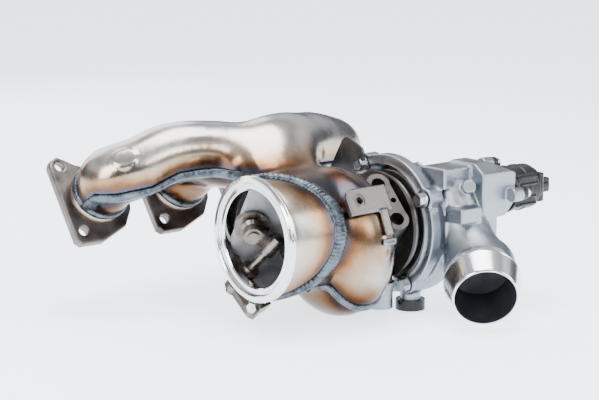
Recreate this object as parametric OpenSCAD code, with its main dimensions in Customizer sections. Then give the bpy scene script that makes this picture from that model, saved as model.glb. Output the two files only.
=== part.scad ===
// Turbocharger of a four-cylinder petrol engine, with its fabricated steel exhaust manifold.
// X runs along the shaft from the turbine outlet to the compressor inlet, Y points to the
// cylinder head and Z is up as the unit lies on a bench. The origin is the centre of the
// turbine outlet collar's front face.

/* [Shaft line] */
// Height of the shaft centre relative to the outlet centre
shaft_z = -5; // [-8:0.5:-4]
// Radius of the shaft in its bearing
shaft_r = 4; // [3.5:0.1:5]
// Radial running clearance of the shaft in its bearing and of the spindle in its bush
run_gap = 0.05; // [0.02:0.01:0.09]

/* [Turbine outlet] */
// Outer radius of the V-band collar
collar_r = 53; // [52:0.5:56]
// Bore radius of the V-band collar
outlet_bore_r = 41.5; // [38:0.5:43]
// Depth of the collar
collar_len = 9; // [8:0.5:10]
// Outer radius of the outlet duct
duct_r = 49.5; // [48:0.5:50]
// Thickness of the sheet steel
sheet = 2; // [1.5:0.1:2.5]

/* [Turbine volute] */
// Position of the volute's middle plane along the shaft
volute_x = 90; // [88:1:92]
// Half width of the volute
volute_half = 26; // [24:0.5:27]
// Radius to the middle of the volute's round section
volute_ring_r = 38.5; // [36:0.5:40]

/* [Manifold] */
// Distance between neighbouring ports
port_pitch = 84; // [82:1:88]
// Position of the first port along the shaft
first_port_x = -54; // [-58:1:-50]
// Bore radius of a port
port_r = 20; // [18:0.5:21]
// Thickness of a port flange
flange_t = 8; // [6:0.5:10]
// Tilt of the port faces below the horizontal
port_tilt = 36; // [30:1:40]
// Radius of the stud holes
stud_r = 4.6; // [4:0.1:5]

/* [Compressor] */
// Radius of the compressor housing's back flange
comp_flange_r = 62; // [60:1:64]
// Radius of the bolt circle that holds the housing
comp_bolt_r = 57; // [56:0.5:58]
// Bore radius of the compressor inlet
inlet_bore_r = 26; // [24:0.5:27]
// Outer radius of the compressor inlet
inlet_r = 30; // [29.5:0.5:32]
// Bore radius of the discharge stub
stub_bore_r = 26; // [24:0.5:27]
// Largest radius of the discharge stub
stub_r = 33; // [31:0.5:34]

/* [Wastegate] */
// Radius of the flap
flap_r = 15; // [14:0.5:15.5]
// Distance from the spindle to the flap's centre
arm_len = 21; // [20:0.5:22]
// Distance from the spindle to the lever's pin
lever_len = 28; // [26:1:30]
// Angle that the flap opens
flap_travel = 30; // [20:1:30]
// Radius of the spindle
spindle_r = 4; // [3.5:0.1:4.5]

/* [Diverter valve] */
// Radius of the valve body
valve_r = 20; // [18:0.5:21]
// Travel of the valve's piston
valve_travel = 8; // [5:0.5:8]

/* [Hidden] */
$fn = 48;
far = 300;

// Volute centre in Y and Z
volute_yz = [-1, -13.5];
volute_x0 = volute_x - volute_half;
volute_x1 = volute_x + volute_half;
// Angle of the plane that parts the volute's two pressings
volute_split = 141;
// Direction of the slanted weld between the outlet duct and the volute's pressings
weld_x = 15;
weld_lean = 98.4;
weld_turn = 37.8;

// Ports: the centre of the first one's face, and the plane of all of them
port_y = 157;
port_z = 16;
neck_r = 23;
neck_len = 16;
stud_places = [[-24, -33], [-24, 30], [29, -20]];

// Runners: the middle of each tube from its port to the collector, and the tube's radius
function port_at(n) = [first_port_x + port_pitch * (n - 1), port_y, port_z];
// A point on a port's axis, at a distance behind its face
function behind_port(n, d) = port_at(n) + d * [0, -cos(port_tilt), sin(port_tilt)];
collector = [95, 78, 57.5];
runner_routes = [
    [behind_port(1, 14), behind_port(1, 30), [-46, 122, 43], [-30, 113, 48],
        [-8, 106, 58], [20, 97, 59], [54, 86, 55], collector],
    [behind_port(2, 14), behind_port(2, 30), [33, 118, 45], [42, 94, 55]],
    [behind_port(3, 14), behind_port(3, 30), [110, 116, 46], collector],
    [behind_port(4, 14), behind_port(4, 30), [190, 121, 42], [166, 106, 46],
        [138, 94, 54], [112, 82, 57], collector]
];
runner_radii = [
    [23, 25, 26, 25.5, 26, 25, 26, 31],
    [23, 24, 24, 24],
    [23, 24, 25, 30],
    [23, 25, 25, 25, 26, 29, 31]
];
// Throat: the hollow that leads from the collector down into the volute
throat = [[58, 78, 48, 25], [86, 72, 50, 27], [52, 30, 16, 24], [86, 26, 8, 26]];
// Plane that parts the manifold's two pressings
parting_at = [0, 90, 45];
parting_turn = [-14, 0, 0];

// Turning parts
wheel_x0 = 92;
wheel_x1 = 116;
wheel_r = 27;
exducer_r = 24;
comp_x0 = 160;
comp_x1 = 198;
comp_r = 28;
inducer_r = 21;

// Wastegate: the spindle's middle and the directions that belong to it
spindle_at = [29.3, 8.2, -9.8];
spindle_turn = 26;
spindle_dip = 47;
flap_turn = 49;
seat_gap = 14;
lever_depth = 52;
swivel_depth = 45;
lever_rest = 15;
actuator_run = 138;

// Compressor housing
comp_x = 148;
bolt_x = 144.8;
scroll_x = 178;
scroll_z = -15;
scroll_ring_r = 38;
scroll_r = 20;
inlet_end = 238;
stub_at = [159, -115, -52];
stub_turn = 52.9;
stub_dip = 21.1;
stub_len = 40;
sleeve_x = 212;
duct_knee = [184, -54, 17];

// Diverter valve
valve_yz = [-56, 23];
valve_x = 233;
valve_screw_turns = [30, 150, 270];

module along_x(at) translate(at) rotate([0, 90, 0]) children();
module on_shaft(x) along_x([x, 0, shaft_z]) children();
module tube(r_out, r_in, len) difference() {
    cylinder(r = r_out, h = len);
    translate([0, 0, -1]) cylinder(r = r_in, h = len + 2);
}
module sweep(route, radii, less) for (i = [0:len(route) - 2]) hull() {
    translate(route[i]) sphere(r = radii[i] - less, $fn = 20);
    translate(route[i + 1]) sphere(r = radii[i + 1] - less, $fn = 20);
}

// Everything behind the slanted weld of the outlet duct
module behind_weld() translate([weld_x, 0, 0]) rotate([0, weld_lean, weld_turn])
    translate([-far / 2, -far / 2, 0]) cube([far, far, far]);
// The side of the volute's parting plane that faces away from the head
module front_side() translate([0, volute_yz[0], volute_yz[1]]) rotate([volute_split, 0, 0])
    translate([-far, 0, -far]) cube([2 * far, far, 2 * far]);
// Everything above the manifold's parting plane
module above_parting() translate(parting_at) rotate(parting_turn)
    translate([-2 * far, -far, 0]) cube([4 * far, 2 * far, far]);

module collar_ring() along_x([0, 0, 0]) rotate_extrude() polygon([
    [47, 0], [collar_r - 1.2, 0], [collar_r, 1.2], [collar_r, 5],
    [duct_r, collar_len], [outlet_bore_r, collar_len], [outlet_bore_r, 2.5], [47, 2.5]]);

module outlet_collar() color("gainsboro") difference() {
    collar_ring();
    in_wastegate() cylinder(r = 8.4, h = 47);
}
module duct_tube() along_x([collar_len, 0, 0]) tube(duct_r, duct_r - sheet, 67);
module spindle_hole() in_wastegate() cylinder(r = 8.1, h = 70);

module outlet_duct() color("tan") difference() {
    duct_tube();
    behind_weld();
}

// The volute's outside, or its inside when less is the sheet's thickness
module volute_solid(less) along_x([0, volute_yz[0], volute_yz[1]]) rotate_extrude() union() {
    translate([0, volute_x0 + less]) square([volute_ring_r, 2 * (volute_half - less)]);
    translate([volute_ring_r, volute_x]) intersection() {
        circle(r = volute_half - less);
        translate([0, -far / 2]) square([far, far]);
    }
}
module throat_bore() translate([84, 30, 20]) rotate([-42, 0, 0]) cylinder(r = 27, h = 40);

module turbine_shells() difference() {
    union() {
        volute_solid(0);
        intersection() {
            along_x([collar_len, 0, 0]) cylinder(r = duct_r, h = volute_x0 + 6 - collar_len);
            behind_weld();
        }
    }
    volute_solid(sheet);
    along_x([collar_len - 1, 0, 0]) cylinder(r = duct_r - sheet, h = volute_x0 - collar_len + 1);
    on_shaft(volute_x0 - 10) cylinder(r = wheel_r + 3, h = 20);
    on_shaft(volute_x1 - 10) cylinder(r = 34, h = 20);
    throat_bore();
    spindle_hole();
}

module turbine_shell_front() color("tan") intersection() {
    turbine_shells();
    front_side();
}
module turbine_shell_rear() color("peru") difference() {
    turbine_shells();
    front_side();
}

module turbine_shroud() color("dimgray") on_shaft(0) rotate_extrude() polygon([
    [wheel_r + 1.3, 48], [wheel_r + 2.9, 48], [wheel_r + 2.9, wheel_x0 + 12],
    [wheel_r + 0.5, wheel_x0 + 12], [exducer_r + 0.5, wheel_x0 + 6],
    [exducer_r + 0.5, wheel_x0 - 4], [wheel_r + 1.3, wheel_x0 - 16]]);

// Places a piece in the wastegate's frame: z along the spindle outwards, x from the flap to
// the spindle, y away from the seat
module in_wastegate() translate(spindle_at) rotate([0, 0, spindle_turn])
    rotate([-90 - spindle_dip, 0, 0]) rotate([0, 0, flap_turn]) children();

module wastegate_seat() color("dimgray") difference() {
    intersection() {
        in_wastegate() translate([-60, -seat_gap - 3, -60]) cube([90, 3, 100]);
        along_x([collar_len + 0.3, 0, 0]) cylinder(r = duct_r - sheet - 0.3, h = 45);
    }
    in_wastegate() translate([-arm_len, -seat_gap + 1, 0]) rotate([90, 0, 0])
        cylinder(r = 12, h = 8);
    on_shaft(47) cylinder(r = wheel_r + 3.4, h = 40);
}

module manifold_solid(less) {
    for (n = [0:3]) sweep(runner_routes[n], runner_radii[n], less);
    hull() for (t = throat) translate([t[0], t[1], t[2]]) sphere(r = t[3] - less, $fn = 24);
}
// The slab in front of the shells that the flanges and necks take up
module port_slab() translate([first_port_x - 60, port_y, port_z]) rotate([-90 - port_tilt, 0, 0])
    translate([0, -60, -neck_len - 0.02]) cube([port_pitch * 3 + 120, 120, 60]);
module manifold_shells() difference() {
    manifold_solid(0);
    manifold_solid(sheet);
    port_slab();
    volute_solid(0);
    along_x([-10, 0, 0]) cylinder(r = duct_r, h = 80);
}
module manifold_upper_shell() color("darkgray") intersection() {
    manifold_shells();
    above_parting();
}
module manifold_lower_shell() color("peru") difference() {
    manifold_shells();
    above_parting();
}

// Places a piece on a port: z out of the face towards the head, x along the shaft
module at_port(n) translate(port_at(n)) rotate([-90 - port_tilt, 0, 0]) children();
module runner_necks() color("rosybrown") for (n = [1:4]) at_port(n)
    translate([0, 0, -neck_len]) tube(neck_r, port_r, neck_len - flange_t);
module port_flange(n) color("slategray") at_port(n) translate([0, 0, -flange_t]) difference() {
    linear_extrude(flange_t) polygon([
        [-34, 38], [-30, 42], [-8, 42], [19, 31], [30, 16], [34, 0], [39, -12], [39, -24],
        [33, -30], [-2, -30], [-10, -33], [-17, -38], [-24, -42], [-31, -39], [-34, -34]]);
    translate([0, 0, -1]) cylinder(r = port_r, h = flange_t + 2);
    for (p = stud_places) translate([p[0], p[1], -1]) cylinder(r = stud_r, h = flange_t + 2);
}

module spindle_bush() color("gray") in_wastegate() translate([0, 0, 29])
    tube(8, spindle_r + run_gap, 17);

// Centre housing
pad_at = [125, -29, 21.5];
pad_turn = 47;
pad_lean = -18;
module on_pad() translate(pad_at) rotate([pad_turn, 0, 0]) rotate([0, pad_lean, 0]) children();
module centre_housing() color("silver") difference() {
    union() {
        on_shaft(volute_x1) cylinder(r = 42, h = 5);
        on_shaft(volute_x1 + 4) cylinder(r1 = 30, r2 = 26, h = 14);
        on_shaft(volute_x1 + 17) cylinder(r = 30, h = 9);
        on_shaft(139) cylinder(r = 47, h = 3);
        on_pad() for (y = [-18, 18]) translate([0, y, -26]) cylinder(r = 10.5, h = 26);
        on_pad() translate([-10.5, -18, -26]) cube([21, 36, 25]);
        translate([130, -14, -52]) cylinder(r = 11, h = 34);
        translate([130, 20, -40]) cylinder(r = 12, h = 34);
    }
    on_shaft(volute_x1 - 40) cylinder(r = 90, h = 40.05);
    on_shaft(142) cylinder(r = 90, h = 40);
    on_shaft(volute_x1 - 1) cylinder(r = 33, h = 3.4);
    on_shaft(volute_x1) cylinder(r = 9.2, h = 40);
    on_shaft(121) cylinder(r = 15, h = 1);
    on_shaft(135.5) cylinder(r = 21, h = 20);
    on_pad() for (y = [-18, 18]) {
        translate([0, y, -14]) cylinder(r = 6, h = 20);
        translate([0, y, 0]) cylinder(r = 10.5, h = 14);
    }
    on_pad() translate([6, 0, -10]) cylinder(r = 2.5, h = 20);
    translate([130, -14, -60]) cylinder(r = 8.5, h = 50);
    translate([132, 0, shaft_z + 8]) cylinder(r = 2, h = 40);
}

module turbine_heat_shield() color("gray") on_shaft(volute_x1) rotate_extrude() polygon([
    [10, 1.2], [32.7, 1.2], [32.7, 2.2], [10, 2.2]]);
module journal_bearing() color("goldenrod") on_shaft(volute_x1 + 4) difference() {
    tube(9.15, shaft_r + run_gap, 15);
    translate([-20, 0, 9]) rotate([0, 90, 0]) cylinder(r = 1.6, h = 40);
}
module thrust_bearing() color("goldenrod") on_shaft(138.8) tube(20.9, 7.3, 2.7);

module compressor_backplate() color("dimgray") on_shaft(0) rotate_extrude() polygon([
    [8.3, 142.1], [42, 142.1], [43.5, 144], [44.8, 146], [44.8, 148], [50, 148],
    [50, 158], [8.3, 158]]);
module retaining_ring() color("lightgray") on_shaft(146.35) tube(53, 45, 1.6);

// Compressor housing
module stub_frame() translate(stub_at) rotate([0, 0, stub_turn]) rotate([0, -90 - stub_dip, 0])
    children();
function stub_dir(d) = stub_at + d * [
    cos(stub_turn) * cos(stub_dip), sin(stub_turn) * cos(stub_dip), sin(stub_dip)];
module bolt_places() for (a = [72, 150, 240, 330]) on_shaft(0) rotate([0, 0, a])
    translate([comp_bolt_r, 0, 0]) children();
module duct_path(r) {
    hull() {
        translate(stub_dir(stub_len)) sphere(r = r, $fn = 32);
        translate([186, -62, -14]) sphere(r = r, $fn = 32);
    }
    hull() {
        translate([186, -62, -14]) sphere(r = r, $fn = 32);
        translate(duct_knee) sphere(r = r, $fn = 32);
    }
}
module compressor_housing() color("lightsteelblue") difference() {
    union() {
        on_shaft(comp_x) cylinder(r = comp_flange_r, h = 12);
        on_shaft(comp_x + 10) cylinder(r1 = 56, r2 = 40, h = 30);
        along_x([scroll_x, 0, scroll_z]) rotate_extrude() translate([scroll_ring_r, 0])
            circle(r = scroll_r);
        on_shaft(180) cylinder(r = 36, h = 24);
        on_shaft(200) cylinder(r = inlet_r, h = inlet_end - 200);
        translate([189, -75, 3]) cube([valve_x - 189, 44, 46]);
        valve_screw_places() translate([0, 0, valve_x - 12]) cylinder(r = 6.5, h = 12);
        stub_frame() translate([0, 0, -stub_len - 6]) cylinder(r = stub_r, h = 14.9);
        duct_path(21);
        translate([157, -24, -76]) cylinder(r = 9, h = 24);
        translate([160, -80, 3]) cube([26, 20, 20]);
    }
    on_shaft(comp_x - 1) cylinder(r = 50.2, h = 11.05);
    on_shaft(comp_x + 9) cylinder(r = 44, h = 8);
    on_shaft(0) rotate_extrude() polygon([
        [0, comp_x + 9], [comp_r + 0.6, comp_x + 9], [comp_r + 0.6, comp_x0 + 4],
        [inducer_r + 4, comp_x0 + 16], [inducer_r + 0.6, comp_x0 + 26],
        [inducer_r + 0.6, comp_x1 + 4], [inlet_bore_r, sleeve_x - 0.2],
        [inlet_bore_r + 2.2, sleeve_x - 0.1], [inlet_bore_r + 2.2, inlet_end + 1],
        [0, inlet_end + 1]]);
    along_x([scroll_x, 0, scroll_z]) rotate_extrude() translate([scroll_ring_r, 0])
        circle(r = scroll_r - 4);
    stub_frame() translate([0, 0, -stub_len - 0.1]) cylinder(r = stub_bore_r + 2.6, h = 60);
    duct_path(17);
    along_x([valve_x - 26, valve_yz[0], valve_yz[1]]) cylinder(r = 14, h = 30);
    bolt_places() translate([0, 0, comp_x - 1]) cylinder(r = 3.1, h = 14);
    valve_screw_places() translate([0, 0, valve_x - 9]) cylinder(r = 2.55, h = 10);
}

// Turned stub that the charge hose is clamped on, and the sleeve the air hose is clamped on
module discharge_stub() color("whitesmoke") stub_frame() rotate_extrude() polygon([
    [stub_bore_r, -stub_len], [stub_bore_r + 2.4, -stub_len], [stub_bore_r + 2.4, -31],
    [stub_r, -31], [stub_r, -24], [stub_r - 5, 0], [stub_bore_r, 0]]);
module inlet_sleeve() color("whitesmoke") on_shaft(sleeve_x)
    tube(inlet_bore_r + 2, inlet_bore_r, inlet_end - sleeve_x);

module compressor_bolts() color("silver") bolt_places() {
    translate([0, 0, bolt_x]) cylinder(r = 3, h = 14);
    translate([0, 0, bolt_x - 5]) cylinder(r = 5.8, h = 5.1, $fn = 6);
    translate([0, 0, bolt_x]) cylinder(r = 7, h = 1.5);
}

module shield_plate() color("dimgray") difference() {
    translate([142.2, 0, 0]) rotate([90, 0, 90]) linear_extrude(2.5) polygon([
        [27, 38], [24, 46], [23, 54], [26, 59], [43, 66], [48, 66], [52, 63], [70, 33],
        [60, 26], [42, 34]]);
    bolt_places() translate([0, 0, 130]) cylinder(r = 6.2, h = 20);
}

module support_bracket() color("silver") {
    translate([60, -57.4, 20.8]) rotate([60, 0, 0]) difference() {
        cube([44, 23, 2.5]);
        translate([12, 12, -1]) cylinder(r = 3.2, h = 5);
    }
    translate([90, -57.4, 21.2]) rotate([-23.6, 0, 0]) translate([0, -2.5, -21])
        cube([8, 2.5, 22]);
}
module bracket_clip() color("silver") translate([87, -68.6, -6]) cube([14, 3.4, 6]);

module oil_drain_stub() color("silver") translate([130, -14, -75]) difference() {
    union() {
        cylinder(r = 11.5, h = 18);
        translate([0, 0, 18]) cylinder(r = 13, h = 5);
    }
    translate([0, 0, -1]) cylinder(r = 7, h = 40);
}
module port_cap() color("black") translate([157, -24, -78.5]) difference() {
    cylinder(r = 13, h = 9);
    translate([0, 0, 2.4]) cylinder(r = 9.02, h = 12);
}

// Diverter valve
module in_valve(x) along_x([x, valve_yz[0], valve_yz[1]]) children();
module valve_screw_places() for (a = valve_screw_turns) in_valve(0) rotate([0, 0, a])
    translate([valve_r + 5, 0, 0]) children();
module valve_body() color("black") difference() {
    union() {
        in_valve(valve_x + 0.1) cylinder(r = valve_r + 1, h = 6);
        in_valve(valve_x + 0.1) cylinder(r = valve_r, h = 32.8);
        valve_screw_places() translate([0, 0, valve_x + 0.1]) cylinder(r = 5.6, h = 5);
    }
    in_valve(valve_x - 1) cylinder(r = 14.5, h = 30);
    valve_screw_places() translate([0, 0, valve_x - 1]) cylinder(r = 2.6, h = 10);
}
module valve_cap() color("black") {
    in_valve(valve_x + 33) cylinder(r = valve_r - 3, h = 4);
    translate([valve_x + 37, valve_yz[0] - 8, valve_yz[1] - 7]) difference() {
        cube([18, 16, 13]);
        translate([6, 2, 2]) cube([20, 12, 9]);
    }
}
module valve_coil() color("sienna") in_valve(valve_x + 19.5) tube(14.4, 8.1, 9);
module valve_spring() color("silver") in_valve(valve_x + 10) tube(7.6, 6.2, 8);
module valve_seal() color("black") in_valve(valve_x - 1.9) tube(13.9, 12.75, 1.8);
module valve_screws() color("silver") valve_screw_places() {
    translate([0, 0, valve_x - 8]) cylinder(r = 2.5, h = 13.5);
    translate([0, 0, valve_x + 5.2]) cylinder(r = 3.9, h = 4);
}
module valve_piston() color("dimgray") in_valve(valve_x - 20) difference() {
    cylinder(r = 12.4, h = 24);
    translate([0, 0, 3]) cylinder(r = 10.5, h = 30);
}
module valve_armature() color("gray") in_valve(valve_x - 17) cylinder(r = 5.5, h = 36);

// Wastegate actuator, on the axis of its rod
module on_rod(d) translate(spindle_at) rotate([0, 0, spindle_turn]) rotate([-90 - spindle_dip, 0, 0])
    rotate([0, 0, 90 + lever_rest]) translate([lever_len, 0, swivel_depth])
    rotate([0, 0, -90 - lever_rest]) rotate([0, 90, 0]) translate([0, 0, d]) children();

module actuator_can() color("black") on_rod(actuator_run) difference() {
    union() {
        cylinder(r = 15.5, h = 16);
        translate([0, 0, 14]) cylinder(r = 17.5, h = 3);
    }
    translate([0, 0, 2]) cylinder(r = 14, h = 20);
    translate([0, 0, -1]) cylinder(r = 3.4, h = 20);
}
module actuator_cover() color("black") on_rod(actuator_run + 17.05) difference() {
    union() {
        cylinder(r = 17.5, h = 3);
        cylinder(r = 15.5, h = 20);
    }
    translate([0, 0, -1]) cylinder(r = 14, h = 19);
}
// Round bar between two points
module bar(a, b, r) translate(a) rotate([0, acos((b[2] - a[2]) / norm(b - a)),
    atan2(b[1] - a[1], b[0] - a[0])]) cylinder(r = r, h = norm(b - a));
module actuator_bracket() color("gray") {
    on_rod(actuator_run - 3) difference() {
        translate([-13, -13, 0]) cube([31, 26, 2.9]);
        translate([0, 0, -1]) cylinder(r = 4, h = 6);
    }
    on_rod(actuator_run - 1.6) bar([14, 0, 0], [37.2, 2.9, -18], 4.5);
    translate([134, 42, -36]) rotate([0, 90, 0]) cylinder(r = 9, h = 4.9);
}
module actuator_bolts() color("silver") on_rod(actuator_run - 7) for (y = [-10, 10])
    translate([0, y, 0]) cylinder(r = 3.2, h = 3.9, $fn = 6);
module actuator_spring() color("silver") on_rod(actuator_run + 30) tube(12, 10.5, 5);
module actuator_nipple() color("gray") on_rod(actuator_run + 37.1) difference() {
    cylinder(r = 3, h = 12);
    translate([0, 0, -1]) cylinder(r = 1.6, h = 14);
}

// Rotor
module blades(n, x0, x1, r, lean) intersection() {
    children();
    on_shaft(0) for (k = [0:n - 1]) rotate([0, 0, k * 360 / n])
        translate([0, -0.5, x0]) rotate([lean, 0, 0]) cube([r + 5, 1, (x1 - x0) * 1.3]);
}
module turbine_wheel() color("dimgray") {
    on_shaft(0) rotate_extrude() polygon([
        [0, wheel_x0 - 3], [5, wheel_x0 - 3], [7, wheel_x0 + 4], [9, wheel_x0 + 14],
        [16, wheel_x1 - 2.5], [24, wheel_x1 - 1.2], [24, wheel_x1], [0, wheel_x1]]);
    blades(10, wheel_x0, wheel_x1 - 2, wheel_r, 22) on_shaft(0) rotate_extrude() polygon([
        [4, wheel_x0], [exducer_r, wheel_x0], [exducer_r, wheel_x0 + 7],
        [wheel_r, wheel_x1 - 9], [wheel_r, wheel_x1 - 1.4], [4, wheel_x1 - 1.4]]);
}
module turbine_shaft() color("silver") {
    on_shaft(wheel_x1) cylinder(r = 8, h = 3.4);
    on_shaft(wheel_x1) cylinder(r = shaft_r, h = 38);
    on_shaft(153) cylinder(r = 3, h = 53);
}
module turbine_piston_ring() color("gray") on_shaft(wheel_x1 + 1.4) tube(8.9, 8.01, 1.2);
module thrust_collar() color("silver") on_shaft(0) difference() {
    union() {
        translate([0, 0, 138.3]) cylinder(r = 7.2, h = 3.3);
        translate([0, 0, 136.1]) cylinder(r = 12, h = 2.3);
    }
    translate([0, 0, 130]) cylinder(r = shaft_r + 0.02, h = 20);
}
module oil_slinger() color("silver") on_shaft(141.8) tube(8, shaft_r + 0.02, 12);
module compressor_wheel() color("gainsboro") {
    on_shaft(0) rotate_extrude() polygon([
        [3.02, comp_x0], [comp_r, comp_x0], [comp_r, comp_x0 + 1.2], [18, comp_x0 + 6],
        [10, comp_x0 + 18], [7, comp_x1], [5.5, comp_x1 + 2], [3.02, comp_x1 + 2]]);
    blades(12, comp_x0 + 1, comp_x1, comp_r, -18) on_shaft(0) rotate_extrude() polygon([
        [6, comp_x0 + 1], [comp_r, comp_x0 + 1], [comp_r, comp_x0 + 4],
        [inducer_r + 3, comp_x0 + 15], [inducer_r, comp_x0 + 26], [inducer_r, comp_x1],
        [6, comp_x1]]);
}
module shaft_nut() color("silver") on_shaft(comp_x1 + 2.1) difference() {
    cylinder(r = 5.4, h = 5, $fn = 6);
    translate([0, 0, -1]) cylinder(r = 3.02, h = 7);
}

// Wastegate
module wastegate_flap() color("dimgray") in_wastegate() translate([-arm_len, 0, 0])
    rotate([-90, 0, 0]) {
        translate([0, 0, -seat_gap + 0.05]) cylinder(r = flap_r, h = 4.5);
        translate([0, 0, -seat_gap + 4]) cylinder(r1 = 9, r2 = 5, h = 5);
        translate([0, 0, -seat_gap + 8]) cylinder(r = 3.9, h = 11);
        translate([0, 0, 3.5]) cylinder(r = 5, h = 1.6);
    }
module flap_washer() color("gray") in_wastegate() translate([-arm_len, 0, 0])
    rotate([-90, 0, 0]) translate([0, 0, 1.6]) tube(8, 4, 1.8);
module wastegate_arm() color("dimgray") in_wastegate() difference() {
    union() {
        translate([-arm_len, 0, 0]) rotate([-90, 0, 0]) translate([0, 0, -4.5])
            cylinder(r = 8, h = 6);
        translate([-arm_len, -4.5, -6]) cube([arm_len, 6, 12]);
        translate([0, 0, -9]) cylinder(r = 7, h = 18);
        translate([0, 0, -9]) cylinder(r = spindle_r, h = 70);
    }
    translate([-arm_len, 0, 0]) rotate([-90, 0, 0]) translate([0, 0, -8])
        cylinder(r = 4, h = 20);
}
module lever_frame() translate(spindle_at) rotate([0, 0, spindle_turn])
    rotate([-90 - spindle_dip, 0, 0]) rotate([0, 0, 90 + lever_rest]) children();
module wastegate_lever() color("dimgray") lever_frame() translate([0, 0, lever_depth])
    difference() {
        union() {
            cylinder(r = 8, h = 5);
            translate([0, -6, 0]) cube([lever_len, 12, 5]);
            translate([lever_len, 0, 0]) cylinder(r = 6, h = 5);
        }
        translate([0, 0, -1]) cylinder(r = spindle_r, h = 8);
        translate([lever_len, 0, -1]) cylinder(r = 2.5, h = 8);
    }
module lever_pin() color("silver") lever_frame() translate([lever_len, 0, swivel_depth - 7]) {
    cylinder(r = 2.5, h = lever_depth - swivel_depth + 12);
    translate([0, 0, -1.5]) cylinder(r = 4, h = 1.5);
}

// Rod and its swivel
module actuator_rod() color("gray") {
    on_rod(5) cylinder(r = 2.6, h = actuator_run + 14);
}
module rod_swivel() color("dimgray") on_rod(0) difference() {
    translate([-5, -6, -9]) cube([10, 12, 20]);
    for (y = [0, 1]) translate([0, y, 0]) rotate([0, 90, 0])
        cylinder(r = 2.85, h = 20, center = true);
    translate([-10, 0, -2.85]) cube([20, 1, 5.7]);
    translate([0, 0, 4.9]) cylinder(r = 2.62, h = 10);
    translate([0, 0, -14]) cylinder(r = 2.1, h = 9);
}
module rod_nuts() color("silver") {
    on_rod(-12.4) cylinder(r = 4.6, h = 3.3, $fn = 6);
    on_rod(-13.4) cylinder(r = 2.05, h = 8);
    on_rod(11.1) difference() {
        cylinder(r = 4.6, h = 3.3, $fn = 6);
        translate([0, 0, -1]) cylinder(r = 2.62, h = 6);
    }
}
module diaphragm_plate() color("gray") on_rod(actuator_run + 12.4) tube(13.2, 2.62, 2);

outlet_collar();
outlet_duct();
turbine_shell_front();
turbine_shell_rear();
turbine_shroud();
wastegate_seat();
manifold_upper_shell();
manifold_lower_shell();
runner_necks();
port_flange(1);  // port_flange_1
port_flange(2);  // port_flange_2
port_flange(3);  // port_flange_3
port_flange(4);  // port_flange_4
spindle_bush();
centre_housing();
turbine_heat_shield();
journal_bearing();
thrust_bearing();
compressor_backplate();
discharge_stub();
inlet_sleeve();
retaining_ring();
compressor_housing();
compressor_bolts();
shield_plate();
support_bracket();
bracket_clip();
oil_drain_stub();
port_cap();
valve_body();
valve_cap();
valve_coil();
valve_spring();
valve_screws();
valve_seal();
actuator_can();
actuator_cover();
actuator_bracket();
actuator_bolts();
actuator_spring();
actuator_nipple();
turbine_wheel();
turbine_shaft();
turbine_piston_ring();
thrust_collar();
oil_slinger();
compressor_wheel();
shaft_nut();
wastegate_flap();
flap_washer();
wastegate_arm();
wastegate_lever();
lever_pin();
actuator_rod();
rod_swivel();
rod_nuts();
diaphragm_plate();
valve_piston();
valve_armature();
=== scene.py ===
"""Turbocharger with fabricated manifold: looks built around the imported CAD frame. Lengths in the
helpers are millimetres in the CAD's own frame; meshes are written in metres."""
import math
import bpy
import numpy as np
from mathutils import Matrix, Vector


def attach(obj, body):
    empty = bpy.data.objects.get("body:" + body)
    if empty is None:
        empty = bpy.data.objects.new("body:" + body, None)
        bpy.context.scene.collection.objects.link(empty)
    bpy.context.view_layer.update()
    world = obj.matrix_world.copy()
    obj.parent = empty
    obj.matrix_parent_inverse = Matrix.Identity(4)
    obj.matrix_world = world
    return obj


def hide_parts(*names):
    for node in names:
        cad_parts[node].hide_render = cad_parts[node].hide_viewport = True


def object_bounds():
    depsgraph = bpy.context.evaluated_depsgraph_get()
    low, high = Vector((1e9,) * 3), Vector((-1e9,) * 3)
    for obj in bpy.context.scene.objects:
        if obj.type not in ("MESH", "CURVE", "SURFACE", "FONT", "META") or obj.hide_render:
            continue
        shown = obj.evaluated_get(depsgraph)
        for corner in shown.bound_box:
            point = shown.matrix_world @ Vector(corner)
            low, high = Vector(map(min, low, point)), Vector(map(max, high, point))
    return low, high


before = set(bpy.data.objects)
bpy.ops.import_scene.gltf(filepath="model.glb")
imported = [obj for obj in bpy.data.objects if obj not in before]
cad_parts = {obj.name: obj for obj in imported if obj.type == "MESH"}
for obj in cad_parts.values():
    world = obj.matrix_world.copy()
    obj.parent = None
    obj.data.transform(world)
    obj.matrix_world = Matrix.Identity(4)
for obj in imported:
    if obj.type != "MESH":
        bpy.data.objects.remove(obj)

cad_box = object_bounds()

MM = 0.001                      # metres in a millimetre
SHAFT_Z = -5                    # height of the shaft axis, which runs along X at Y = 0
VOLUTE_X, VOLUTE_Y, VOLUTE_Z = 90, -1, -13.5    # centre of the turbine volute
VALVE_Y, VALVE_Z = -56, 23      # axis of the diverter valve, along X

# ---------------------------------------------------------------- field helpers
# A field takes an (n, 3) array of points and returns n distances, negative inside.
def V(*a):
    return np.array(a, dtype=np.float64)

def seg(p, a, b, ra, rb):
    """Distance to a round cone between a and b."""
    a, b = V(*a), V(*b)
    ab = b - a
    t = np.clip(((p - a) @ ab) / (ab @ ab), 0, 1)
    q = p - a - t[:, None] * ab
    return np.sqrt((q * q).sum(1)) - (ra + (rb - ra) * t)

def smin(a, b, k):
    """Union of two fields, blended over a width k."""
    h = np.clip(0.5 + 0.5 * (b - a) / k, 0, 1)
    return b + (a - b) * h - k * h * (1 - h)

def smax(a, b, k):
    """Intersection of two fields, blended over a width k."""
    return -smin(-a, -b, k)

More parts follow.
